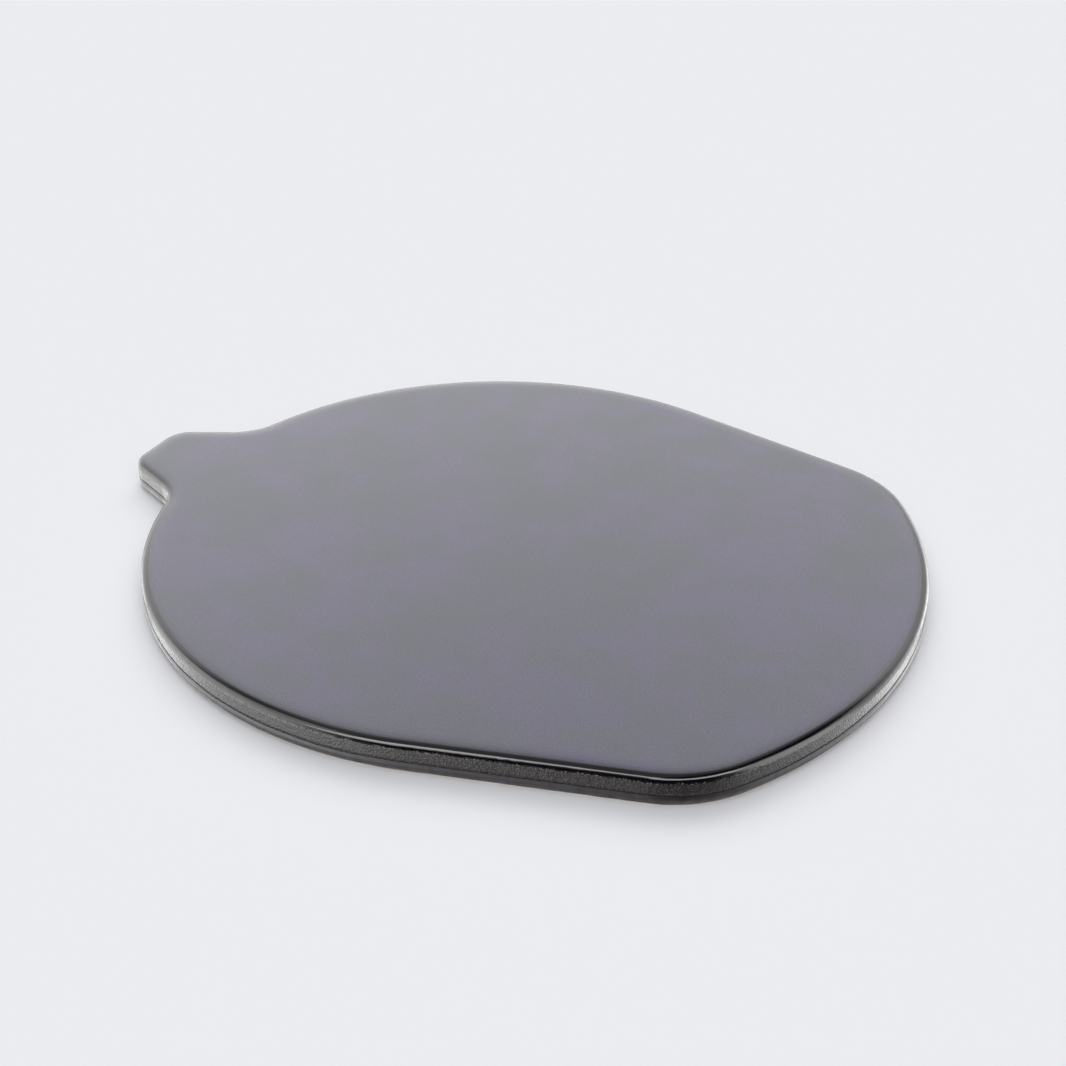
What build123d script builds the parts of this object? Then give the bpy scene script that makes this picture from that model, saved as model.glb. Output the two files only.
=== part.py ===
from build123d import *
import math
import os

# Pizza stone: a pressed and fired slab with a short grip tab, glazed in two passes.
# +Z is up, the underside lies at Z = 0, and the grip points along -X.
# The origin is the centre of the round baking area.

# Outline, seen from above, in millimetres and degrees
DISC_RADIUS = 165.0
FLANK_TURN = 14.3
SHOULDER_RADIUS = 58.0
NOSE_RADIUS = 196.0
NOSE_LENGTH = 38.4

# Grip tab, in millimetres and degrees
GRIP_LENGTH = 34.5
GRIP_END_WIDTH = 36.5
GRIP_FLARE = 25.2
GRIP_CORNER_RADIUS = 14.5
GRIP_ROOT_RADIUS = 28.0

# Slab and rim section: the tilts are from level, in degrees
THICKNESS = 15.5
CROWN_RADIUS = 60.0
CROWN_TILT = 6.0
ROLL_RADIUS = 12.0
ROLL_TILT = 15.0
LIP_RADIUS = 2.8
WALL_TILT = 90.0
SEAM_HEIGHT = 6.4
SEAM_RADIUS = 3.0
SEAM_TILT = 14.0
FOOT_DRAW_IN = 2.2
FOOT_HEIGHT = 0.8

# Glaze
GLAZE_THICKNESS = 0.5

# What follows from these: how far the nose and the grip reach from the disc's centre
NOSE_REACH = DISC_RADIUS + NOSE_LENGTH
GRIP_REACH = DISC_RADIUS + GRIP_LENGTH

UP = Vector(0, 0, 1)


def heading(angle):
    """Unit vector in the plan, at an angle from +X."""
    turn = math.radians(angle)
    return Vector(math.cos(turn), math.sin(turn))


def crossings(point, way, centre, radius):
    """How far along a line its near and far crossings with a circle lie."""
    ahead = (centre - point).dot(way)
    half_chord = math.sqrt(radius ** 2 - (centre - point).length ** 2 + ahead ** 2)
    return ahead - half_chord, ahead + half_chord


def arc_about(centre, start, end):
    """The shorter arc about a centre, from start to end."""
    middle = ((start - centre).normalized() + (end - centre).normalized()).normalized()
    return Edge.make_three_point_arc(start, centre + middle * (start - centre).length, end)


def nose_edges():
    """Half of the nose: far arc, rounded shoulder, and the straight flank that leaves the disc."""
    flank_way = heading(-FLANK_TURN)
    flank_out = UP.cross(flank_way)
    nose_centre = Vector(NOSE_REACH - NOSE_RADIUS, 0)
    inner = flank_out * (DISC_RADIUS - SHOULDER_RADIUS)
    run = crossings(inner, flank_way, nose_centre, NOSE_RADIUS - SHOULDER_RADIUS)[1]
    shoulder_centre = inner + flank_way * run
    shoulder_start = nose_centre + (shoulder_centre - nose_centre).normalized() * NOSE_RADIUS
    shoulder_end = shoulder_centre + flank_out * SHOULDER_RADIUS
    return [
        arc_about(nose_centre, Vector(NOSE_REACH, 0), shoulder_start),
        arc_about(shoulder_centre, shoulder_start, shoulder_end),
        Edge.make_line(shoulder_end, flank_out * DISC_RADIUS),
    ]


def grip_edges():
    """Half of the grip tab: root fillet, flared side, rounded corner and end."""
    tip = Vector(-GRIP_REACH, GRIP_END_WIDTH / 2)
    side_way = heading(GRIP_FLARE)
    side_out = UP.cross(side_way)
    outer = tip + side_out * GRIP_ROOT_RADIUS
    run = crossings(outer, side_way, Vector(), DISC_RADIUS + GRIP_ROOT_RADIUS)[0]
    root_centre = outer + side_way * run
    root_end = tip + side_way * run
    corner_drop = GRIP_CORNER_RADIUS * (1 + side_out.X) / side_out.Y
    corner_centre = tip + Vector(GRIP_CORNER_RADIUS, -corner_drop)
    corner_end = corner_centre - Vector(GRIP_CORNER_RADIUS, 0)
    corner_start = corner_centre + side_out * GRIP_CORNER_RADIUS
    return [
        arc_about(root_centre, root_centre.normalized() * DISC_RADIUS, root_end),
        Edge.make_line(root_end, corner_start),
        arc_about(corner_centre, corner_start, corner_end),
        Edge.make_line(corner_end, Vector(-GRIP_REACH, 0)),
    ]


def mirrored(edge):
    """The same edge on the other side of the X axis, running the other way."""
    start, middle, end = [Vector(point.X, -point.Y) for point in (edge @ 1, edge @ 0.5, edge @ 0)]
    if edge.geom_type == GeomType.LINE:
        return Edge.make_line(start, end)
    return Edge.make_three_point_arc(start, middle, end)


def outline_edges():
    """The whole outline, counter-clockwise from the tip of the nose."""
    nose = nose_edges()
    grip = grip_edges()
    disc = arc_about(Vector(), nose[-1] @ 1, grip[0] @ 0)
    half = [*nose, disc, *grip]
    return half + [mirrored(edge) for edge in reversed(half)]


def normal_at(tilt):
    """The outward normal of the section where the surface has tilted this far from level."""
    turn = math.radians(tilt)
    return Vector(math.sin(turn), math.cos(turn))


def valley_rise():
    """Up the wall in the section plane, from the middle of the seam's valley to its upper edge."""
    wall_up = UP.cross(normal_at(WALL_TILT))
    return wall_up * (2 * SEAM_RADIUS * math.sin(math.radians(SEAM_TILT)))


def rim_bends():
    """The rim section from the baking face down: radius, sense and tilt at the end of each bend."""
    base_drop = SEAM_HEIGHT - valley_rise().Y - FOOT_HEIGHT
    chord_tilt = math.degrees(math.atan2(base_drop, -FOOT_DRAW_IN))
    base_turn = chord_tilt - WALL_TILT
    base_radius = math.hypot(base_drop, FOOT_DRAW_IN) / (2 * math.sin(math.radians(base_turn)))
    lip = [
        (CROWN_RADIUS, 1, CROWN_TILT),
        (ROLL_RADIUS, 1, ROLL_TILT),
        (LIP_RADIUS, 1, WALL_TILT),
    ]
    foot = [
        (SEAM_RADIUS, 1, WALL_TILT + SEAM_TILT),
        (SEAM_RADIUS, -1, WALL_TILT - SEAM_TILT),
        (SEAM_RADIUS, 1, WALL_TILT),
        (base_radius, 1, chord_tilt + base_turn),
    ]
    return lip, foot


def bend_edges(bends, start, tilt, skin):
    """Tangent arcs in the section plane, each drawn a skin's thickness inside the glazed surface."""
    edges = []
    for radius, sense, end_tilt in bends:
        reach = sense * radius - skin
        centre = start - normal_at(tilt) * reach
        middle = centre + normal_at((tilt + end_tilt) / 2) * reach
        end = centre + normal_at(end_tilt) * reach
        edges.append(Edge.make_three_point_arc(start, middle, end))
        start = end
        tilt = end_tilt
    return edges


def rim_section(skin):
    """The band between the flat top and the wall, with X outward from the wall's top and Y up."""
    lip, foot = rim_bends()
    lip_run = bend_edges(lip, Vector(), 0, 0)[-1] @ 1
    top = Vector(-lip_run.X, THICKNESS)
    wall_top = top + lip_run
    rise = valley_rise()
    wall_foot = wall_top - rise * ((wall_top.Y - SEAM_HEIGHT) / rise.Y - 1)
    lip_edges = bend_edges(lip, top - Vector(0, skin), 0, skin)
    foot_edges = bend_edges(foot, wall_foot - normal_at(WALL_TILT) * skin, WALL_TILT, skin)
    wall = Edge.make_line(lip_edges[-1] @ 1, foot_edges[0] @ 0)
    foot_end = foot_edges[-1] @ 1
    corners = [foot_end, Vector(foot_end.X, 0), Vector(top.X, 0), lip_edges[0] @ 0]
    rest = [Edge.make_line(a, b) for a, b in zip(corners, corners[1:])]
    return Face(Wire([*lip_edges, wall, *foot_edges, *rest]))


def inward(edge, share):
    """The point on an outline edge and the level direction into the slab there."""
    return edge @ share, UP.cross(edge % share)


def rim_piece(edge, section):
    """The rim section carried along one line or arc of the outline."""
    start, into = inward(edge, 0)
    placed = Plane(origin=start, x_dir=-into, z_dir=-(edge % 0)) * section
    if edge.geom_type == GeomType.LINE:
        return extrude(placed, amount=edge.length, dir=edge % 0)
    side = (edge @ 1 - start).dot(into)
    axis = Axis(edge.arc_center, UP if side > 0 else -UP)
    return revolve(placed, axis, revolution_arc=math.degrees(edge.length / edge.radius))


def inset_edge(edge, depth):
    """An outline edge moved into the slab."""
    start, middle, end = [point + into * depth for point, into in (inward(edge, s) for s in (0, 0.5, 1))]
    if edge.geom_type == GeomType.LINE:
        return Edge.make_line(start, end)
    return Edge.make_three_point_arc(start, middle, end)


def slab(skin):
    """The whole slab, its surface a skin's thickness inside the glazed one."""
    outline = outline_edges()
    section = rim_section(skin)
    band = section.bounding_box()
    field = Face(Wire([inset_edge(edge, -band.min.X) for edge in outline]))
    core = extrude(field, amount=THICKNESS - skin, dir=UP)
    pieces = [rim_piece(edge, section) for edge in outline]
    return core.fuse(*pieces).clean()


def glaze(stone):
    """The fused coat round the slab, from the baking face down to the bare foot."""
    coat = slab(0) - stone
    return split(coat, Plane.XY.offset(FOOT_HEIGHT), keep=Keep.TOP)


def main():
    os.makedirs("parts", exist_ok=True)
    stone = slab(GLAZE_THICKNESS)
    coat = glaze(stone)
    seam = Plane.XY.offset(SEAM_HEIGHT)
    parts = {
        "stone_body": stone,
        "top_glaze": split(coat, seam, keep=Keep.TOP),
        "base_glaze": split(coat, seam, keep=Keep.BOTTOM),
    }
    for name, part in parts.items():
        part.label = name
        export_step(part, f"parts/{name}.step")


main()
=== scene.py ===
"""Looks of a glazed stoneware pizza stone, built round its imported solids.

The fired body and its two coats of glaze are modelled again as fine meshes from the same sizes as the
solids, in metres. +Z is up, the underside lies at Z = 0, and the grip tab points along -X.
"""
import math

import bpy
from bpy.props import FloatProperty, FloatVectorProperty, PointerProperty
from mathutils import Matrix, Vector, geometry, kdtree, noise


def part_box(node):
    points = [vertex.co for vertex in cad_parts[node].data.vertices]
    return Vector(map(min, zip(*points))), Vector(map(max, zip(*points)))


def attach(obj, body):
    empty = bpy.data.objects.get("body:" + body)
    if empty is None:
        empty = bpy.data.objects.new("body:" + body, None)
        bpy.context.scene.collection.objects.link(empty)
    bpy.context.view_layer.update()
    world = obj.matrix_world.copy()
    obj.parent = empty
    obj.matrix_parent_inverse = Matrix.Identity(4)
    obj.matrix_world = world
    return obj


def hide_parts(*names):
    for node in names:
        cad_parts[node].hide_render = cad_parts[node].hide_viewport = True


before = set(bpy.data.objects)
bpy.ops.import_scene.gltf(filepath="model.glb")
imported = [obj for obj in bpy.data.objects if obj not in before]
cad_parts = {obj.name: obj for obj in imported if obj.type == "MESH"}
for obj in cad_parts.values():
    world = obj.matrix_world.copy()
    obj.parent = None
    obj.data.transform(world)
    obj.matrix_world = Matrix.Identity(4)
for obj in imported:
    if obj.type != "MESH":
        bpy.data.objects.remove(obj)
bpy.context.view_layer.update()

bl_info = {
    "name": "Pizza stone",
    "version": (1, 0, 0),
    "blender": (4, 5, 0),
    "location": "3D View > Sidebar > Stone",
    "description": "Builds a glazed stoneware pizza stone, its finishes and a plain studio",
    "category": "Object",
}

MM = 0.001
BODY_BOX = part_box("stone_body")
FACE_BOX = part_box("top_glaze")
BASE_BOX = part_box("base_glaze")

# Mesh rows over crown, roll and lip, down the wall, over the seam's upper bends, and from the seam down
FINE_LIP = (7, 4, 14)
FINE_WALL = 8
FINE_SEAM = (3, 3)
FINE_BASE = (3, 3, 10)
COARSE_LIP = (1, 1, 4)
COARSE_WALL = 1
COARSE_SEAM = (2, 2)
COARSE_BASE = (2, 2, 4)
BEAD_ROWS = (4,)
FOOT_EDGE_ROWS = (5,)

# How many times coarser a level field is where glaze and body touch
HIDDEN_FIELD = 3

# Tilts of an upright and of a downward surface, and the angle from which an edge is sharp
UPRIGHT = math.radians(90)
DOWNWARD = math.radians(180)
SHARP_FROM = math.radians(50)

# Points closer than this are one point, in metres
SAME_POINT = 1e-7

# The spans of noise that finishes are stretched over: all of a finish, soft mottling, and wider patches
NOISE_LOW = 0.3
NOISE_HIGH = 0.7
MOTTLE_LOW = 0.35
MOTTLE_HIGH = 0.65
PATCH_HIGH = 0.75

# Keeps the compass direction sound straight up and straight down
LEAST_FLAT = 1e-4

# The camera's sensor in millimetres, and the nearest and farthest that it sees in metres
SENSOR_WIDTH = 36.0
NEAREST = 0.05
FARTHEST = 40.0


def to_tenth(length):
    """A length read from the frame, to a tenth of a millimetre."""
    return round(length, 4)


def length_prop(name, description, default):
    return FloatProperty(name=name, description=description, default=default, min=0.0,
                         precision=5, subtype="DISTANCE", unit="LENGTH")


def angle_prop(name, description, degrees):
    return FloatProperty(name=name, description=description, default=math.radians(degrees),
                         precision=3, subtype="ANGLE", unit="ROTATION")


def share_prop(name, description, default):
    return FloatProperty(name=name, description=description, default=default, min=0.0, max=1.0,
                         precision=4, subtype="FACTOR")


def strength_prop(name, description, default):
    return FloatProperty(name=name, description=description, default=default, min=0.0)


def colour_prop(name, description, default):
    return FloatVectorProperty(name=name, description=description, default=default, size=3,
                               min=0.0, max=1.0, subtype="COLOR")


class StoneOutline(bpy.types.PropertyGroup):
    """The outline seen from above."""

    disc_radius: length_prop("Disc radius", "Radius of the round baking area", to_tenth(FACE_BOX[1].y))
    nose_reach: length_prop("Nose reach", "From the disc's centre to the tip of the nose",
                            to_tenth(FACE_BOX[1].x))
    grip_reach: length_prop("Grip reach", "From the disc's centre to the end of the grip tab",
                            to_tenth(-FACE_BOX[0].x))
    flank_turn: angle_prop("Flank turn", "How far the straight flanks of the nose turn inwards", 14.3)
    shoulder_radius: length_prop("Shoulder radius", "Rounding between flank and nose", 58.0 * MM)
    nose_radius: length_prop("Nose radius", "Radius of the blunt nose", 196.0 * MM)
    grip_end_width: length_prop("Grip end width", "Width of the grip's end before rounding", 36.5 * MM)
    grip_flare: angle_prop("Grip flare", "How far each side of the grip leans outwards", 25.2)
    grip_corner_radius: length_prop("Grip corner radius", "Rounding of the grip's corners", 14.5 * MM)
    grip_root_radius: length_prop("Grip root radius", "Fillet between the grip and the disc", 28.0 * MM)


class StoneRim(bpy.types.PropertyGroup):
    """The section of the rim: tilts are from level."""

    thickness: length_prop("Thickness", "Height of the stone", to_tenth(FACE_BOX[1].z))
    glaze_thickness: length_prop("Glaze thickness", "Thickness of the coat of glaze",
                                 to_tenth(FACE_BOX[1].z - BODY_BOX[1].z))
    crown_radius: length_prop("Crown radius", "First, gentle bend at the edge of the face", 60.0 * MM)
    crown_tilt: angle_prop("Crown tilt", "Tilt at the end of the crown", 6.0)
    roll_radius: length_prop("Roll radius", "Second bend of the rim", 12.0 * MM)
    roll_tilt: angle_prop("Roll tilt", "Tilt at the end of the roll", 15.0)
    lip_radius: length_prop("Lip radius", "Rounding of the lip above the wall", 2.8 * MM)
    wall_tilt: angle_prop("Wall tilt", "Tilt of the wall", 90.0)
    seam_height: length_prop("Seam height", "Height of the line where the two coats meet",
                             to_tenth(FACE_BOX[0].z))
    seam_radius: length_prop("Seam radius", "Radius of the bends of the valley at the seam", 3.0 * MM)
    seam_tilt: angle_prop("Seam tilt", "How far the sides of the valley lean", 14.0)
    foot_draw_in: length_prop("Foot draw-in", "How far the wall draws in to the foot", 2.2 * MM)
    foot_height: length_prop("Foot height", "Height of the bare foot", to_tenth(BASE_BOX[0].z))
    bead_radius: length_prop("Bead radius", "Rounded lower edge of the glaze", 0.22 * MM)
    bead_tilt: angle_prop("Bead tilt", "Tilt at the end of the rounded edge", 195.0)
    foot_edge_radius: length_prop("Foot edge radius", "Worn edge of the bare foot", 0.4 * MM)


class StoneSurface(bpy.types.PropertyGroup):
    """How evenly the glaze has run."""

    step: length_prop("Step", "Distance between mesh points along the rim", 0.7 * MM)
    field_step: length_prop("Field step", "Distance between mesh points on the level face", 6.0 * MM)
    swell: length_prop("Swell", "Slow unevenness of the level face", 0.03 * MM)
    swell_size: length_prop("Swell size", "Breadth of the slow unevenness", 70.0 * MM)
    ripple: length_prop("Ripple", "Depth of the ripple on lip and wall", 0.035 * MM)
    ripple_size: length_prop("Ripple size", "Breadth of the ripple on lip and wall", 3.2 * MM)
    seam_wander: length_prop("Seam wander", "How far the seam strays up and down", 0.25 * MM)
    seam_wander_size: length_prop("Seam wander size", "Length of its waves", 14.0 * MM)
    foot_wander: length_prop("Foot wander", "How far the glaze's lower edge strays", 0.18 * MM)
    foot_wander_size: length_prop("Foot wander size", "Length of its waves", 6.0 * MM)
    wander_reach: length_prop("Wander reach", "How far up the wall the straying fades out", 1.6 * MM)


class StoneFinish(bpy.types.PropertyGroup):
    """Colours and gloss of the fired body and its glazes."""

    slate: colour_prop("Slate", "Satin glaze of the level face", (0.087, 0.082, 0.133))
    slate_green: colour_prop("Slate green", "Where the satin glaze pools greyer", (0.082, 0.085, 0.110))
    lip_black: colour_prop("Lip black", "Glaze where it breaks over the lip", (0.0030, 0.0025, 0.0045))
    wall_brown: colour_prop("Wall brown", "Glaze on the wall", (0.014, 0.010, 0.011))
    # Paler flecks in the glaze, which also stand in as painted glints of the orange peel
    wall_fleck_and_glint: colour_prop("Wall fleck", "Paler flecks in the wall's glaze", (0.066, 0.060, 0.058))
    base_plum: colour_prop("Base plum", "Smoother glaze below the seam", (0.042, 0.036, 0.048))
    clay: colour_prop("Clay", "Bare fired clay", (0.74, 0.69, 0.61))
    clay_dark: colour_prop("Clay dark", "Darker parts of the bare clay", (0.60, 0.54, 0.46))
    iron: colour_prop("Iron", "Iron specks in the clay", (0.10, 0.055, 0.03))
    face_roughness: share_prop("Face roughness", "Roughness of the satin face", 0.34)
    lip_roughness: share_prop("Lip roughness", "Roughness of the lip", 0.10)
    wall_roughness: share_prop("Wall roughness", "Roughness of the wall", 0.22)
    base_roughness: share_prop("Base roughness", "Roughness below the seam", 0.34)
    satin_until: angle_prop("Satin until", "Tilt at which the satin starts to break", 3.5)
    lip_black_from: angle_prop("Lip black from", "Tilt at which it has broken to black", 9.5)
    wall_top: length_prop("Wall top", "Height at which the wall's orange peel starts", 13.4 * MM)
    wall_fade: length_prop("Wall fade", "How far down it takes to start in full", 1.2 * MM)
    wall_ragged: length_prop("Wall ragged", "How far its border strays up and down", 2.4 * MM)
    ragged_size: length_prop("Ragged size", "Length of the border's waves", 5.0 * MM)
    fleck_size: length_prop("Fleck size", "Size of the wall's flecks", 0.75 * MM)
    # Painted highlight: glints painted as paler colour into the flecks along the wall's ragged top
    painted_glint: FloatProperty(name="Glint", description="How much paler the flecks are along the wall's top",
                         default=14.0, min=0.0)
    # Painted shade: the colour of the wall and the base darkens into the seam's valley
    painted_seam_shade: share_prop("Seam shade", "Colour left at the seam, where the glaze is thickest", 0.35)
    painted_seam_shade_reach: length_prop("Seam shade reach", "How far up the wall that reaches", 1.6 * MM)
    # Painted reflection of the floor: the base's colour turns paler towards its foot
    painted_foot_light: FloatProperty(name="Foot shade", description="How much paler the base is at its foot",
                              default=1.7, min=0.0)
    grain_size: length_prop("Grain size", "Size of the satin face's grain", 0.7 * MM)
    grain_depth: length_prop("Grain depth", "Depth of the satin face's grain", 0.012 * MM)
    grain_contrast: share_prop("Grain contrast", "How much the grain darkens and lightens", 0.20)
    peel_size: length_prop("Peel size", "Size of the wall's orange peel", 0.8 * MM)
    peel_depth: length_prop("Peel depth", "Depth of the wall's orange peel", 0.22 * MM)
    mottle_size: length_prop("Mottle size", "Size of the face's soft mottling", 26.0 * MM)
    fleck_low: share_prop("Fleck low", "Noise at which a fleck starts", 0.53)
    fleck_high: share_prop("Fleck high", "Noise at which a fleck is full", 0.63)
    face_spread: share_prop("Face spread", "How far the satin's roughness strays", 0.02)
    base_spread: share_prop("Base spread", "How far the roughness below the seam strays", 0.03)
    patch_size: length_prop("Patch size", "Size of the brown patches below the seam", 4.0 * MM)
    base_peel_size: length_prop("Base peel size", "Size of the orange peel below the seam", 1.12 * MM)
    base_peel_depth: length_prop("Base peel depth", "Depth of that orange peel", 0.077 * MM)
    cloud_size: length_prop("Cloud size", "Size of the clay's darker clouds", 30.0 * MM)
    grit_size: length_prop("Grit size", "Size of the clay's grit", 0.6 * MM)
    grit_depth: length_prop("Grit depth", "Depth of the clay's grit", 0.10 * MM)
    grit_dark: share_prop("Grit dark", "How much the grit darkens the clay", 0.12)
    grit_light: share_prop("Grit light", "How much the grit lightens the clay", 0.10)
    clay_roughness: share_prop("Clay roughness", "Roughness of the bare clay", 0.91)
    clay_spread: share_prop("Clay spread", "How far the clay's roughness strays", 0.05)
    speck_spacing: length_prop("Speck spacing", "Size of the cells that can hold a speck", 3.5 * MM)
    speck_core: share_prop("Speck core", "A speck's dark core, in cells", 0.10)
    speck_fade: share_prop("Speck fade", "How far it fades out beyond that, in cells", 0.06)
    speck_from: share_prop("Speck from", "Share of cells that stay without a speck", 0.74)
    speck_full: share_prop("Speck full", "Share of cells without a dark speck", 0.78)


class StoneStudio(bpy.types.PropertyGroup):
    """Floor, light and camera."""

    floor_colour: colour_prop("Floor", "Pale floor and backdrop", (0.831, 0.839, 0.871))
    floor_size: length_prop("Floor size", "Side of the floor", 12.0)
    wrap_left: strength_prop("Wrap, left", "Bright surroundings below eye level, to the left", 1.95)
    wrap_left_end: strength_prop("Wrap, left end", "What their front end adds", 0.7)
    wrap_right: strength_prop("Wrap, right", "Bright surroundings below eye level, to the right", 1.75)
    wrap_right_end: strength_prop("Wrap, right end", "What their far end adds at eye level", 1.4)
    wrap_corners: strength_prop("Wrap corners", "What the back corners add below eye level", 1.8)
    wrap_high: strength_prop("Wrap, high", "Bright surroundings above eye level, open at the front", 1.85)
    wrap_top: strength_prop("Wrap, top", "Their higher part, behind the stone", 1.05)
    wrap_sides: strength_prop("Wrap, sides", "What both its sides add lower down", 1.2)
    gloom: strength_prop("Gloom", "Even dim light that the gloss mirrors all round", 0.02)
    left_glow: strength_prop("Left glow", "What the far left adds to the sheen of the face", 0.8)
    left_box: strength_prop("Left box", "Soft box to the left, mirrored by lip and wall", 2.1)
    right_box: strength_prop("Right box", "Soft box to the right, mirrored by lip and wall", 2.8)
    ceiling: strength_prop("Ceiling", "Dim ceiling over the stone", 0.45)
    key: strength_prop("Key", "Bright strip over the camera, mirrored along the front lip", 7.0)
    key_left: strength_prop("Key, left", "Its higher left part", 6.0)
    key_end: strength_prop("Key end", "Its lower left end", 6.0)
    table: strength_prop("Table", "Table top as the gloss mirrors it", 0.25)
    table_near: strength_prop("Table near", "Table top close under the stone", 0.3)
    back_box: strength_prop("Back box", "Soft box behind the stone, for matt surfaces", 2.2)
    front_box: strength_prop("Front box", "Soft box over the camera, for matt surfaces", 2.68)
    bounce: strength_prop("Bounce", "Light off the floor, for matt surfaces", 0.75)
    lens: FloatProperty(name="Lens", description="Focal length on a 36 mm sensor", default=54.55,
                        min=1.0, subtype="DISTANCE_CAMERA", unit="CAMERA")
    azimuth: angle_prop("Azimuth", "Direction of view, from +Y towards -X", 25.98)
    elevation: angle_prop("Elevation", "Height of the camera above the target, as an angle", 31.262)
    distance: length_prop("Distance", "From the camera to its target", 769.57 * MM)
    target: FloatVectorProperty(name="Target", description="Point that the camera looks at", size=3,
                                default=(0.01691, 0.00771, 0.01425), precision=5,
                                subtype="TRANSLATION", unit="LENGTH")


# Outline: samples are pairs of a point and the outward direction there


def turned_left(way):
    return Vector((-way.y, way.x))


def turned_right(way):
    return Vector((way.y, -way.x))


def heading(angle):
    """Unit vector in the plan, at an angle from +X."""
    return Vector((math.cos(angle), math.sin(angle)))


def crossings(point, way, centre, radius):
    """How far along a line its near and far crossings with a circle lie."""
    ahead = (centre - point).dot(way)
    half_chord = math.sqrt(radius ** 2 - (centre - point).length_squared + ahead ** 2)
    return ahead - half_chord, ahead + half_chord


def along_line(start, end, step):
    """Samples along a straight stretch, without its end."""
    out = turned_right((end - start).normalized())
    count = max(1, math.ceil((end - start).length / step))
    return [(start.lerp(end, i / count), out) for i in range(count)]


def along_arc(centre, start, end, step):
    """Samples along the shorter arc about a centre, without its end."""
    first = start - centre
    last = end - centre
    sweep = math.atan2(first.x * last.y - first.y * last.x, first.dot(last))
    count = max(1, math.ceil(abs(sweep) * first.length / step))
    sense = math.copysign(1, sweep)
    spokes = [Matrix.Rotation(sweep * i / count, 2) @ first for i in range(count)]
    return [(centre + spoke, spoke.normalized() * sense) for spoke in spokes]


def nose_samples(size, step):
    """Half of the nose: far arc, rounded shoulder, and the straight flank that leaves the disc."""
    flank_way = heading(-size.flank_turn)
    flank_out = turned_left(flank_way)
    nose_centre = Vector((size.nose_reach - size.nose_radius, 0))
    inner = flank_out * (size.disc_radius - size.shoulder_radius)
    run = crossings(inner, flank_way, nose_centre, size.nose_radius - size.shoulder_radius)[1]
    shoulder = inner + flank_way * run
    shoulder_start = nose_centre + (shoulder - nose_centre).normalized() * size.nose_radius
    shoulder_end = shoulder + flank_out * size.shoulder_radius
    flank_end = flank_out * size.disc_radius
    samples = along_arc(nose_centre, Vector((size.nose_reach, 0)), shoulder_start, step)
    samples += along_arc(shoulder, shoulder_start, shoulder_end, step)
    return samples + along_line(shoulder_end, flank_end, step), flank_end


def grip_samples(size, step):
    """Half of the grip tab: root fillet, flared side, rounded corner and end."""
    tip = Vector((-size.grip_reach, size.grip_end_width / 2))
    side_way = heading(size.grip_flare)
    side_out = turned_left(side_way)
    outer = tip + side_out * size.grip_root_radius
    run = crossings(outer, side_way, Vector((0, 0)), size.disc_radius + size.grip_root_radius)[0]
    root = outer + side_way * run
    root_start = root.normalized() * size.disc_radius
    root_end = tip + side_way * run
    corner_drop = size.grip_corner_radius * (1 + side_out.x) / side_out.y
    corner = tip + Vector((size.grip_corner_radius, -corner_drop))
    corner_start = corner + side_out * size.grip_corner_radius
    corner_end = corner - Vector((size.grip_corner_radius, 0))
    samples = along_arc(root, root_start, root_end, step)
    samples += along_line(root_end, corner_start, step)
    samples += along_arc(corner, corner_start, corner_end, step)
    return samples + along_line(corner_end, Vector((-size.grip_reach, 0)), step), root_start


def outline_samples(size, step):
    """The whole outline, counter-clockwise from the tip of the nose."""
    nose, nose_end = nose_samples(size, step)
    grip, grip_start = grip_samples(size, step)
    half = nose + along_arc(Vector((0, 0)), nose_end, grip_start, step) + grip
    end = (Vector((-size.grip_reach, 0)), Vector((-1, 0)))
    other = [(Vector((p.x, -p.y)), Vector((n.x, -n.y))) for p, n in reversed(half[1:])]
    return half + [end] + other


# Rim section: a station is how far outward from the wall, how high, and the tilt from level


def normal_at(tilt):
    """Outward and upward parts of the section's normal at a tilt from level."""
    return Vector((math.sin(tilt), math.cos(tilt)))


def bend_stations(bends, start, tilt, skin, steps):
    """Stations along tangent arcs, each drawn a skin's thickness inside the glazed surface."""
    stations = []
    for (radius, sense, end_tilt), count in zip(bends, steps):
        reach = sense * radius - skin
        centre = start - normal_at(tilt) * reach
        for i in range(1, count + 1):
            turn = tilt + (end_tilt - tilt) * i / count
            stations.append((centre + normal_at(turn) * reach, turn))
        start, tilt = stations[-1]
    return stations


def valley_rise(rim):
    """Up the wall in the section plane, from the middle of the seam's valley to its upper edge."""
    return turned_left(normal_at(rim.wall_tilt)) * (2 * rim.seam_radius * math.sin(rim.seam_tilt))


def lip_bends(rim):
    """Radius, sense and end tilt of the bends from the baking face to the wall."""
    return [
        (rim.crown_radius, 1, rim.crown_tilt),
        (rim.roll_radius, 1, rim.roll_tilt),
        (rim.lip_radius, 1, rim.wall_tilt),
    ]


def seam_bends(rim):
    """The same for the upper half of the valley at the seam."""
    return [
        (rim.seam_radius, 1, rim.wall_tilt + rim.seam_tilt),
        (rim.seam_radius, -1, rim.wall_tilt),
    ]


def base_bends(rim):
    """The same from the seam down to the foot."""
    drop = rim.seam_height - valley_rise(rim).y - rim.foot_height
    chord_tilt = math.atan2(drop, -rim.foot_draw_in)
    turn = chord_tilt - rim.wall_tilt
    radius = math.hypot(drop, rim.foot_draw_in) / (2 * math.sin(turn))
    return [
        (rim.seam_radius, -1, rim.wall_tilt - rim.seam_tilt),
        (rim.seam_radius, 1, rim.wall_tilt),
        (radius, 1, chord_tilt + turn),
    ]


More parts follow.
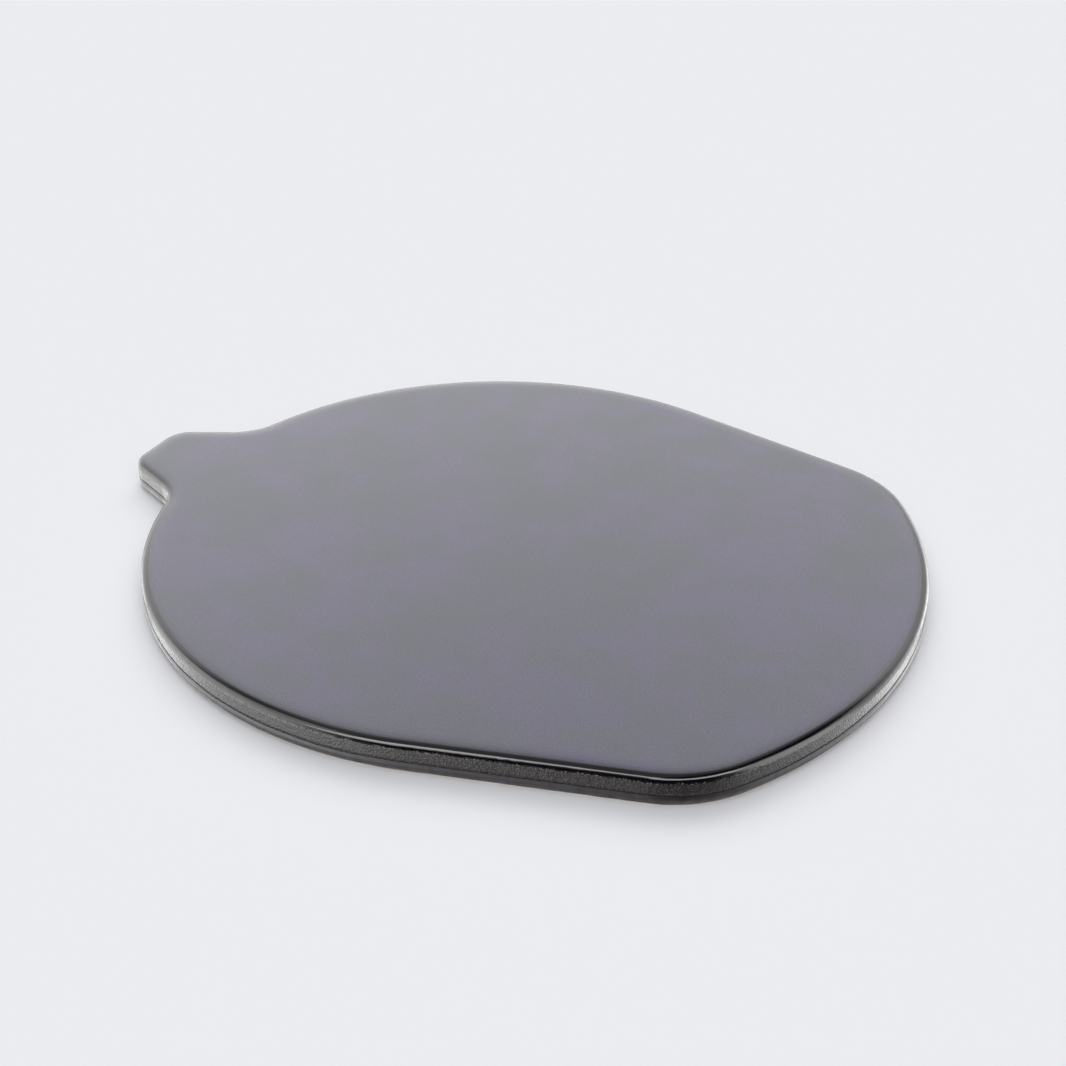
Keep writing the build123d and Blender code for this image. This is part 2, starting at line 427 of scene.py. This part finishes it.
def face_stations(rim, skin, lip_steps, wall_steps, seam_steps):
    """From the level face over the lip and down the wall to the seam."""
    run = bend_stations(lip_bends(rim), Vector((0, 0)), 0, 0, (1, 1, 1))[-1][0]
    top = Vector((-run.x, rim.thickness))
    wall_top = top + run
    rise = valley_rise(rim)
    wall_foot = wall_top - rise * ((wall_top.y - rim.seam_height) / rise.y - 1)
    inset = normal_at(rim.wall_tilt) * skin
    stations = [(top - Vector((0, skin)), 0)]
    stations += bend_stations(lip_bends(rim), stations[0][0], 0, skin, lip_steps)
    for i in range(1, wall_steps + 1):
        stations.append((wall_top.lerp(wall_foot, i / wall_steps) - inset, rim.wall_tilt))
    return stations + bend_stations(seam_bends(rim), *stations[-1], skin, seam_steps)


def base_stations(rim, skin, steps):
    """From the seam down to the foot.

    It starts in the plane of the wall, while the face's stations end further in, at the valley's bottom.
    """
    seam =Vector((0, rim.seam_height)) - normal_at(rim.wall_tilt) * skin
    start = (seam, rim.wall_tilt)
    return [start] + bend_stations(base_bends(rim), *start, skin, steps)


# Meshes


def smooth_step(value, low, high):
    """0 below low, 1 above high, and smooth between them."""
    share = min(1, max(0, (value - low) / (high - low)))
    return share * share * (3 - 2 * share)


class Relief:
    """Where the glaze departs from its even section."""

    def __init__(self, surface, rim):
        self.surface = surface
        self.rim = rim

    def wave(self, place, size):
        """Smooth noise from about -1 to 1 over waves of a size."""
        return noise.noise(place / size)

    def stray(self, place):
        """How far the seam and the glaze's lower edge stray up or down at a point of the wall."""
        surface = self.surface
        rim = self.rim
        level = Vector((place.x, place.y, 0))
        near_seam = 1 - smooth_step(abs(place.z - rim.seam_height), 0, surface.wander_reach)
        near_foot = 1 - smooth_step(abs(place.z - rim.foot_height), 0, surface.wander_reach)
        off_the_table = smooth_step(place.z, rim.foot_edge_radius, rim.foot_height)
        seam = surface.seam_wander * self.wave(level, surface.seam_wander_size)
        foot = surface.foot_wander * self.wave(level, surface.foot_wander_size)
        return near_seam * seam + near_foot * off_the_table * foot

    def swell(self, place, tilt):
        """How far the surface stands proud of its even section."""
        surface = self.surface
        level = 1 - smooth_step(tilt, 0, self.rim.roll_tilt)
        bent = smooth_step(tilt, self.rim.crown_tilt, self.rim.wall_tilt / 2)
        slow = surface.swell * self.wave(place, surface.swell_size)
        quick = surface.ripple * self.wave(place, surface.ripple_size)
        return level * slow + bent * quick


class Shell:
    """A mesh in the making: rings of points round the outline, joined by bands and filled by fields."""

    def __init__(self, samples, relief):
        self.samples = samples
        self.relief = relief
        self.points = []
        self.tilts = []
        self.faces = []

    def ring(self, station, glazed):
        """Adds one ring of points at a station of the section."""
        (out_by, height), tilt = station
        rise = normal_at(tilt)
        first = len(self.points)
        for point, out in self.samples:
            place = (point + out * out_by).to_3d()
            place.z = height
            place.z += self.relief.stray(place)
            if glazed:
                normal = (out * rise.x).to_3d() + Vector((0, 0, rise.y))
                place += normal * self.relief.swell(place, tilt)
            self.points.append(place)
        self.tilts += [tilt] * len(self.samples)
        return list(range(first, len(self.points)))

    def rings(self, stations, glazed=True):
        """Rings from the level face outward and down, joined by bands that look outward."""
        rings = [self.ring(station, glazed) for station in stations]
        for upper, lower in zip(rings, rings[1:]):
            self.band(upper, lower)
        return rings

    def band(self, upper, lower):
        """Joins two rings by faces that look outward where the first ring is the upper one."""
        after = upper[1:] + upper[:1]
        below = lower[1:] + lower[:1]
        self.faces += list(zip(upper, lower, below, after))

    def field(self, ring, spacing, facing_up):
        """Fills a level ring with triangles over an even grid of points."""
        height = self.points[ring[0]].z
        edge = [self.points[i].to_2d() for i in ring]
        inner = self.grid_inside(edge, spacing)
        loop = [(i, (i + 1) % len(edge)) for i in range(len(edge))]
        made = geometry.delaunay_2d_cdt(edge + inner, loop, [list(range(len(edge)))], 1, SAME_POINT)
        _, _, faces, origins = made[:4]
        if any(not origin for origin in origins):
            raise RuntimeError("the edge of the level field crosses itself")
        names = ring + list(range(len(self.points), len(self.points) + len(inner)))
        for point in inner:
            place = point.to_3d()
            place.z = height
            self.points.append(place)
        self.tilts += [0.0 if facing_up else math.pi] * len(inner)
        for face in faces:
            named = [names[origins[i][0]] for i in face]
            self.faces.append(tuple(named if facing_up else reversed(named)))
        return names[len(ring):]

    def grid_inside(self, edge, spacing):
        """An even triangular grid of points that lie well inside a ring."""
        tree = kdtree.KDTree(len(edge))
        for i, point in enumerate(edge):
            tree.insert(point.to_3d(), i)
        tree.balance()
        low = Vector((min(p.x for p in edge), min(p.y for p in edge)))
        high = Vector((max(p.x for p in edge), max(p.y for p in edge)))
        row_gap = spacing * math.sqrt(3) / 2
        inside = []
        for row in range(math.ceil((high.y - low.y) / row_gap) + 1):
            for column in range(math.ceil((high.x - low.x) / spacing) + 1):
                point = low + Vector(((column + row % 2 / 2) * spacing, row * row_gap))
                near, i, _ = tree.find(point.to_3d())
                if (point - near.to_2d()).dot(self.samples[i][1]) < -spacing / 2:
                    inside.append(point)
        return inside

    def piece(self, name, material, slot, node):
        """Makes the object, in the place of a CAD node."""
        mesh = bpy.data.meshes.new(name)
        mesh.from_pydata(self.points, [], self.faces)
        if mesh.validate():
            raise RuntimeError(f"{name} has faces that aren't sound")
        tilt = mesh.attributes.new("tilt", "FLOAT", "POINT")
        tilt.data.foreach_set("value", self.tilts)
        mesh.shade_smooth()
        mesh.set_sharp_from_angle(angle=SHARP_FROM)
        mesh.materials.append(material)
        piece = bpy.data.objects.new(name, mesh)
        bpy.context.scene.collection.objects.link(piece)
        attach(piece, "root")
        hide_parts(node)
        return piece


def new_shell(scene):
    """An empty mesh over the stone's outline."""
    surface = scene.stone_surface
    samples = outline_samples(scene.stone_outline, surface.step)
    return Shell(samples, Relief(surface, scene.stone_rim))


def build_face_glaze(scene):
    """The coat on the level face, the lip and the upper wall."""
    rim = scene.stone_rim
    spacing = scene.stone_surface.field_step
    shell = new_shell(scene)
    outside = shell.rings(face_stations(rim, 0, FINE_LIP, FINE_WALL, FINE_SEAM))
    under = face_stations(rim, rim.glaze_thickness, COARSE_LIP, COARSE_WALL, COARSE_SEAM)
    inside = shell.rings(under[::-1], False)
    shell.band(outside[-1], inside[0])
    shell.field(inside[-1], HIDDEN_FIELD * spacing, False)
    for i in shell.field(outside[0], spacing, True):
        shell.points[i].z += shell.relief.swell(shell.points[i], 0)
    return shell.piece("face_coat", face_glaze(scene.stone_finish, rim), "slate_glaze", "top_glaze")


def build_base_glaze(scene):
    """The smoother coat from the seam down to the bare foot."""
    rim = scene.stone_rim
    shell = new_shell(scene)
    stations = base_stations(rim, 0, FINE_BASE)
    bead = [(rim.bead_radius, 1, rim.bead_tilt)]
    outside = shell.rings(stations + bend_stations(bead, *stations[-1], 0, BEAD_ROWS))
    inside = shell.rings(base_stations(rim, rim.glaze_thickness, COARSE_BASE)[::-1], False)
    shell.band(outside[-1], inside[0])
    shell.band(inside[-1], outside[0])
    return shell.piece("base_coat", base_glaze(scene.stone_finish, rim), "dipped_glaze", "base_glaze")


def build_body(scene):
    """The fired body: bare at its foot and underside, glazed over everywhere else."""
    rim = scene.stone_rim
    spacing = scene.stone_surface.field_step
    skin = rim.glaze_thickness
    shell = new_shell(scene)
    stations = face_stations(rim, skin, COARSE_LIP, COARSE_WALL, COARSE_SEAM)
    stations += base_stations(rim, skin, COARSE_BASE)[1:]
    foot = Vector((stations[-1][0].x, rim.foot_edge_radius))
    stations += [(foot, UPRIGHT)]
    edge = [(rim.foot_edge_radius, 1, DOWNWARD)]
    stations += bend_stations(edge, *stations[-1], 0, FOOT_EDGE_ROWS)
    rings = shell.rings(stations, False)
    shell.field(rings[0], HIDDEN_FIELD * spacing, True)
    shell.field(rings[-1], spacing, False)
    return shell.piece("fired_body", bare_clay(scene.stone_finish), "bare_stoneware", "stone_body")


# Materials


class Tree:
    """Adds nodes to a node tree in few words."""

    def __init__(self, tree):
        self.tree = tree
        tree.nodes.clear()

    def add(self, kind, inputs=None, **settings):
        """A node with its settings, and its inputs set to values or linked to other nodes' outputs."""
        node = self.tree.nodes.new(kind)
        for name, value in settings.items():
            setattr(node, name, value)
        for name, value in (inputs or {}).items():
            if isinstance(value, bpy.types.NodeSocket):
                self.tree.links.new(value, node.inputs[name])
            else:
                node.inputs[name].default_value = value
        return node

    def math(self, operation, first, second=0.0):
        node = self.add("ShaderNodeMath", {0: first, 1: second}, operation=operation)
        return node.outputs[0]

    def ramp(self, value, low, high, to_low=0.0, to_high=1.0, kind="SMOOTHSTEP"):
        """A ramp from one value to another while the input goes from low to high."""
        node = self.add("ShaderNodeMapRange", {
            "Value": value, "From Min": low, "From Max": high, "To Min": to_low, "To Max": to_high,
        }, interpolation_type=kind)
        return node.outputs["Result"]

    def noise(self, place, size, detail=2.0, roughness=0.5):
        """Noise over waves of a size, from 0 to 1."""
        node = self.add("ShaderNodeTexNoise", {
            "Vector": place, "Scale": 1 / size, "Detail": detail, "Roughness": roughness,
        })
        return node.outputs["Fac"]

    def spread(self, noise, least, most):
        """Noise stretched to run from one value to another."""
        return self.ramp(noise, NOISE_LOW, NOISE_HIGH, least, most)

    def blend(self, share, first, second):
        """A mix of two colours."""
        node = self.add("ShaderNodeMix", {"Factor": share}, data_type="RGBA")
        for name, value in (("A", first), ("B", second)):
            socket = [s for s in node.inputs if s.name == name and s.type == "RGBA"][0]
            if isinstance(value, bpy.types.NodeSocket):
                self.tree.links.new(value, socket)
            else:
                socket.default_value = (*value, 1.0)
        return [s for s in node.outputs if s.type == "RGBA"][0]

    def shade(self, colour, share):
        """A colour made darker or lighter by a factor."""
        node = self.add("ShaderNodeVectorMath", {0: colour, 1: share}, operation="MULTIPLY")
        return node.outputs["Vector"]

    def place(self):
        """Where a point of the surface is, in metres."""
        return self.add("ShaderNodeTexCoord").outputs["Object"]

    def height(self, place):
        """How high a place is above the table."""
        return self.add("ShaderNodeSeparateXYZ", {0: place}).outputs["Z"]

    def tilt(self):
        """The tilt of the section from level, in radians."""
        return self.add("ShaderNodeAttribute", attribute_name="tilt").outputs["Fac"]

    def bump(self, height):
        """The normal of a surface that stands proud by a height in metres."""
        return self.add("ShaderNodeBump", {"Height": height, "Distance": 1.0}).outputs["Normal"]


def new_material(name):
    material = bpy.data.materials.new(name)
    material.use_nodes = True
    return material, Tree(material.node_tree)


def finish_material(tree, colour, roughness, normal):
    """Closes a material with its shader."""
    shader = tree.add("ShaderNodeBsdfPrincipled", {
        "Base Color": colour, "Roughness": roughness, "Normal": normal,
    })
    tree.add("ShaderNodeOutputMaterial", {"Surface": shader.outputs["BSDF"]})


def face_glaze(look, rim):
    """Satin slate on the level face, which breaks to black gloss over the lip and ripples on the wall, with
    painted glints along the wall's top and painted shade at the seam.
    """
    material, tree = new_material("slate_glaze")
    place = tree.place()
    height = tree.height(place)
    mottle = tree.noise(place, look.mottle_size, detail=3.0)
    grain = tree.noise(place, look.grain_size, detail=3.0, roughness=0.6)
    peel = tree.noise(place, look.peel_size, roughness=0.45)
    over_lip = tree.ramp(tree.tilt(), look.satin_until, look.lip_black_from, kind="LINEAR")
    border = tree.math("MULTIPLY", tree.noise(place, look.ragged_size, detail=3.0), look.wall_ragged)
    border = tree.math("ADD", border, look.wall_top - look.wall_ragged / 2)
    on_wall = tree.ramp(tree.math("SUBTRACT", border, height), 0.0, look.wall_fade)

    field = tree.blend(tree.ramp(mottle, MOTTLE_LOW, MOTTLE_HIGH), look.slate, look.slate_green)
    field = tree.shade(field, tree.spread(grain, 1 - look.grain_contrast, 1 + look.grain_contrast))
    # Flecks in the wall's glaze, also a painted highlight standing in for the orange peel's glints
    fleck = tree.noise(place, look.fleck_size, roughness=0.6)
    fleck = tree.ramp(fleck, look.fleck_low, look.fleck_high)
    wall =tree.blend(fleck, look.wall_brown, look.wall_fleck_and_glint)
    # Painted highlight: the flecks turn paler along the wall's ragged top border, as glints
    edge = tree.math("MULTIPLY", on_wall, tree.math("SUBTRACT", 1.0, on_wall))
    painted_glint = tree.math("MULTIPLY", edge, tree.math("MULTIPLY", fleck, look.painted_glint))
    wall = tree.shade(wall, tree.math("ADD", painted_glint, 1.0))
    # Painted shade: the wall's colour darkens down into the seam's valley
    shaded_to = rim.seam_height + look.painted_seam_shade_reach
    wall = tree.shade(wall, tree.ramp(height, rim.seam_height, shaded_to, look.painted_seam_shade, 1.0))
    colour = tree.blend(over_lip, field, look.lip_black)
    colour = tree.blend(on_wall, colour, wall)

    satin = tree.spread(mottle, look.face_roughness - look.face_spread,
                        look.face_roughness + look.face_spread)
    lip_change = tree.math("MULTIPLY", over_lip, look.lip_roughness - look.face_roughness)
    wall_change = tree.math("MULTIPLY", on_wall, look.wall_roughness - look.lip_roughness)
    roughness = tree.math("ADD", tree.math("ADD", satin, lip_change), wall_change)

    satin_height = tree.math("MULTIPLY", grain, tree.ramp(over_lip, 0.0, 1.0, look.grain_depth, 0.0))
    wall_height = tree.math("MULTIPLY", peel, tree.ramp(on_wall, 0.0, 1.0, 0.0, look.peel_depth))
    finish_material(tree, colour, roughness, tree.bump(tree.math("ADD", satin_height, wall_height)))
    return material


def base_glaze(look, rim):
    """Smoother, plum grey glaze below the seam, with painted shade at the seam and a painted reflection of
    the floor that makes it paler towards the foot.
    """
    material, tree = new_material("dipped_glaze")
    place = tree.place()
    patch = tree.noise(place, look.patch_size, detail=3.0)
    peel = tree.noise(place, look.base_peel_size, roughness=0.45)
    colour = tree.blend(tree.ramp(patch, MOTTLE_LOW, PATCH_HIGH), look.base_plum, look.wall_brown)
    # Painted shade at the seam, and a painted reflection of the floor that grows paler towards the foot
    painted_seam_shade_and_foot_light = tree.ramp(tree.height(place), rim.foot_height, rim.seam_height,
                         look.painted_foot_light, look.painted_seam_shade, kind="LINEAR")
    roughness = tree.spread(patch, look.base_roughness - look.base_spread,
                            look.base_roughness + look.base_spread)
    relief = tree.math("MULTIPLY", peel, look.base_peel_depth)
    finish_material(tree, tree.shade(colour, painted_seam_shade_and_foot_light), roughness, tree.bump(relief))
    return material


def bare_clay(look):
    """Dry, gritty stoneware with iron specks."""
    material, tree = new_material("bare_stoneware")
    place = tree.place()
    cloud = tree.noise(place, look.cloud_size, detail=4.0, roughness=0.55)
    grit = tree.noise(place, look.grit_size, detail=3.0, roughness=0.6)
    cells = tree.add("ShaderNodeTexVoronoi", {"Vector": place, "Scale": 1 / look.speck_spacing}).outputs
    speck = tree.ramp(cells["Distance"], look.speck_core, look.speck_core + look.speck_fade, 1.0, 0.0)
    chance = tree.add("ShaderNodeSeparateColor", {0: cells["Color"]}).outputs[0]
    rare = tree.ramp(chance, look.speck_from, look.speck_full)
    clay = tree.blend(tree.ramp(cloud, MOTTLE_LOW, MOTTLE_HIGH), look.clay, look.clay_dark)
    clay = tree.shade(clay, tree.spread(grit, 1 - look.grit_dark, 1 + look.grit_light))
    colour = tree.blend(tree.math("MULTIPLY", speck, rare), clay, look.iron)
    roughness = tree.spread(grit, look.clay_roughness - look.clay_spread,
                            look.clay_roughness + look.clay_spread)
    relief = tree.math("MULTIPLY", grit, look.grit_depth)
    finish_material(tree, colour, roughness, tree.bump(relief))
    return material


# Studio


def floor_material(look):
    """Pale matt floor that shows nothing from below."""
    material, tree = new_material("pale_floor")
    paint = tree.add("ShaderNodeBsdfDiffuse", {"Color": (*look.floor_colour, 1.0)})
    clear = tree.add("ShaderNodeBsdfTransparent")
    below = tree.add("ShaderNodeNewGeometry").outputs["Backfacing"]
    shader = tree.add("ShaderNodeMixShader", {0: below, 1: paint.outputs[0], 2: clear.outputs[0]})
    tree.add("ShaderNodeOutputMaterial", {"Surface": shader.outputs[0]})
    return material


def lay_floor(look):
    """A wide level floor under the stone."""
    half = look.floor_size / 2
    corners = [(-half, -half, 0), (half, -half, 0), (half, half, 0), (-half, half, 0)]
    mesh = bpy.data.meshes.new("floor")
    mesh.from_pydata(corners, [], [(0, 1, 2, 3)])
    mesh.materials.append(floor_material(look))
    floor = bpy.data.objects.new("floor", mesh)
    bpy.context.scene.collection.objects.link(floor)
    floor.visible_glossy = False
    floor.visible_diffuse = False


class Sky:
    """Light from all round as a function of direction.

    Angles are in degrees. Heights are from level, and directions are turned from the camera's side, seen from
    above: against the clock, to the right of the picture, where they are positive.
    """

    def __init__(self, tree, front):
        self.tree = tree
        self.front = front
        way =tree.add("ShaderNodeTexCoord").outputs["Generated"]
        parts = tree.add("ShaderNodeSeparateXYZ", {0: way}).outputs
        flat = tree.math("SQRT", tree.math("SUBTRACT", 1.0, tree.math("MULTIPLY", parts[2], parts[2])))
        flat = tree.math("MAXIMUM", flat, LEAST_FLAT)
        self.east = tree.math("DIVIDE", parts[0], flat)
        self.north = tree.math("DIVIDE", parts[1], flat)
        self.height = tree.math("ARCSINE", parts[2])

    def towards(self, direction, near, far):
        """1 within an angle of a direction, falling to 0 at a wider angle."""
        tree = self.tree
        azimuth = self.front + math.radians(direction)
        along =tree.math("MULTIPLY", self.east, math.cos(azimuth))
        across = tree.math("MULTIPLY", self.north, math.sin(azimuth))
        turn = tree.math("ARCCOSINE", tree.math("MINIMUM", tree.math("ADD", along, across), 1.0))
        return tree.ramp(turn, math.radians(near), math.radians(far), 1.0, 0.0)

    def away_from(self, direction, near, far):
        """0 within an angle of a direction, rising to 1 at a wider angle."""
        return self.tree.math("SUBTRACT", 1.0, self.towards(direction, near, far))

    def between(self, low_out, low_in, high_in, high_out):
        """1 between two heights, falling to 0 beyond them."""
        rising = self.tree.ramp(self.height, math.radians(low_out), math.radians(low_in))
        falling = self.tree.ramp(self.height, math.radians(high_in), math.radians(high_out), 1.0, 0.0)
        return self.tree.math("MULTIPLY", rising, falling)

    def light(self, base, panels):
        """The sum of soft panels over an even base: each is a strength and what it is shaped by."""
        total = base
        for strength, *shapes in panels:
            share = strength
            for shape in shapes:
                share = self.tree.math("MULTIPLY", share, shape)
            total = self.tree.math("ADD", total, share)
        return total


def studio_light(look):
    """Two soft boxes and a bounce light matt surfaces, and the gloss mirrors other soft panels.

    A panel is a strength, the heights that it spans and the directions that it lies in.
    """
    world =bpy.data.worlds.new("studio")
    bpy.context.scene.world = world
    world.use_nodes = True
    world.cycles.sampling_method = "NONE"
    tree = Tree(world.node_tree)
    sky = Sky(tree, look.azimuth + math.radians(270))
    off_back = sky.away_from(180, 25, 50)
    low = sky.between(-50, -34, -8, 8)
    high = sky.between(12, 44, 89, 90)
    beside_back = tree.math("MULTIPLY", sky.towards(180, 36, 56), sky.away_from(180, 4, 20))
    mirrored = sky.light(look.gloom, [
        (look.wrap_left, low, sky.towards(-92, 50, 84), off_back),
        (look.wrap_left_end, low, sky.towards(-50, 24, 40)),
        (look.wrap_right, low, sky.towards(128, 28, 108), off_back),
        (look.wrap_right_end, sky.between(-24, -14, 6, 20), sky.towards(126, 18, 42)),
        (look.wrap_corners, low, sky.towards(176, 48, 60), off_back),
        (look.wrap_high, sky.between(-8, 8, 30, 48), sky.away_from(0, 30, 80)),
        (look.wrap_top, sky.between(34, 42, 52, 62), sky.towards(176, 12, 40)),
        (look.wrap_sides, sky.between(28, 40, 41, 50), beside_back),
        (look.left_glow, sky.between(-10, 6, 22, 40), sky.towards(-150, 16, 60)),
        (look.left_box, sky.between(-30, -12, 62, 70), sky.towards(-86, 20, 48)),
        (look.right_box, sky.between(-24, -4, 56, 70), sky.towards(74, 8, 24)),
        (look.ceiling, sky.between(30, 60, 89, 90), sky.towards(-96, 92, 130)),
        (look.key, sky.between(43, 50, 62, 68), sky.towards(30, 34, 52)),
        (look.key_left, sky.between(56, 62, 74, 80), sky.towards(-36, 22, 34)),
        (look.key_end, sky.between(34, 42, 60, 66), sky.towards(-46, 12, 24)),
        (look.table, sky.between(-91, -90, -30, -16), off_back),
        (look.table_near, sky.between(-91, -90, -60, -40), off_back),
    ])
    boxed = sky.light(0.0, [
        (look.back_box, high, sky.towards(180, 24, 72)),
        (look.front_box, high, sky.towards(0, 24, 72)),
        (look.bounce, sky.between(-91, -90, -6, 0)),
    ])
    ray = tree.add("ShaderNodeLightPath").outputs
    gloss = tree.add("ShaderNodeBackground", {"Color": (1, 1, 1, 1), "Strength": mirrored}).outputs[0]
    matt = tree.add("ShaderNodeBackground", {"Color": (1, 1, 1, 1), "Strength": boxed}).outputs[0]
    seen = tree.add("ShaderNodeBackground", {"Color": (*look.floor_colour, 1.0)}).outputs[0]
    lit = tree.add("ShaderNodeMixShader", {0: ray["Is Glossy Ray"], 1: matt, 2: gloss}).outputs[0]
    shown = tree.add("ShaderNodeMixShader", {0: ray["Is Camera Ray"], 1: lit, 2: seen}).outputs[0]
    tree.add("ShaderNodeOutputWorld", {"Surface": shown})


def aim_camera(look):
    """The camera, by its direction of view and its distance from the target."""
    camera = bpy.data.cameras.new("camera")
    camera.lens = look.lens
    camera.sensor_width = SENSOR_WIDTH
    camera.clip_start = NEAREST
    camera.clip_end = FARTHEST
    holder = bpy.data.objects.new("camera", camera)
    bpy.context.scene.collection.objects.link(holder)
    level = math.cos(look.elevation)
    back = Vector((math.sin(look.azimuth) * level, -math.cos(look.azimuth) * level,
                   math.sin(look.elevation)))
    holder.location = Vector(look.target) + back * look.distance
    holder.rotation_euler = (-back).to_track_quat("-Z", "Y").to_euler()
    bpy.context.scene.camera = holder


# Add-on


class STONE_OT_fire_body(bpy.types.Operator):
    """Build the fired stoneware body with its bare foot and underside"""

    bl_idname = "stone.fire_body"
    bl_label = "Fired body"

    def execute(self, context):
        build_body(context.scene)
        return {"FINISHED"}


class STONE_OT_glaze_face(bpy.types.Operator):
    """Build the satin glaze of the level face, the lip and the upper wall"""

    bl_idname = "stone.glaze_face"
    bl_label = "Face glaze"

    def execute(self, context):
        build_face_glaze(context.scene)
        return {"FINISHED"}


class STONE_OT_glaze_base(bpy.types.Operator):
    """Build the smoother glaze between the seam and the bare foot"""

    bl_idname = "stone.glaze_base"
    bl_label = "Base glaze"

    def execute(self, context):
        build_base_glaze(context.scene)
        return {"FINISHED"}


class STONE_OT_set_studio(bpy.types.Operator):
    """Lay the floor, set the light and aim the camera"""

    bl_idname = "stone.set_studio"
    bl_label = "Studio"

    def execute(self, context):
        look = context.scene.stone_studio
        lay_floor(look)
        studio_light(look)
        aim_camera(look)
        context.scene.view_settings.view_transform = "Standard"
        return {"FINISHED"}


class STONE_PT_panel(bpy.types.Panel):
    """Pizza stone"""

    bl_idname = "STONE_PT_panel"
    bl_label = "Pizza stone"
    bl_space_type = "VIEW_3D"
    bl_region_type = "UI"
    bl_category = "Stone"

    def draw(self, context):
        for operator in OPERATORS:
            self.layout.operator(operator.bl_idname)
        for name in SETTINGS:
            group = getattr(context.scene, name)
            box = self.layout.box()
            for key in group.__annotations__:
                box.prop(group, key)


SETTINGS = {
    "stone_outline": StoneOutline,
    "stone_rim": StoneRim,
    "stone_surface": StoneSurface,
    "stone_finish": StoneFinish,
    "stone_studio": StoneStudio,
}
OPERATORS = [STONE_OT_fire_body, STONE_OT_glaze_face, STONE_OT_glaze_base, STONE_OT_set_studio]


def register():
    for kind in [*SETTINGS.values(), *OPERATORS, STONE_PT_panel]:
        bpy.utils.register_class(kind)
    for name, kind in SETTINGS.items():
        setattr(bpy.types.Scene, name, PointerProperty(type=kind))


def unregister():
    for name in SETTINGS:
        delattr(bpy.types.Scene, name)
    for kind in reversed([*SETTINGS.values(), *OPERATORS, STONE_PT_panel]):
        bpy.utils.unregister_class(kind)


def main():
    register()
    bpy.ops.stone.fire_body()
    bpy.ops.stone.glaze_base()
    bpy.ops.stone.glaze_face()
    bpy.ops.stone.set_studio()


if __name__ == "__main__":
    main()
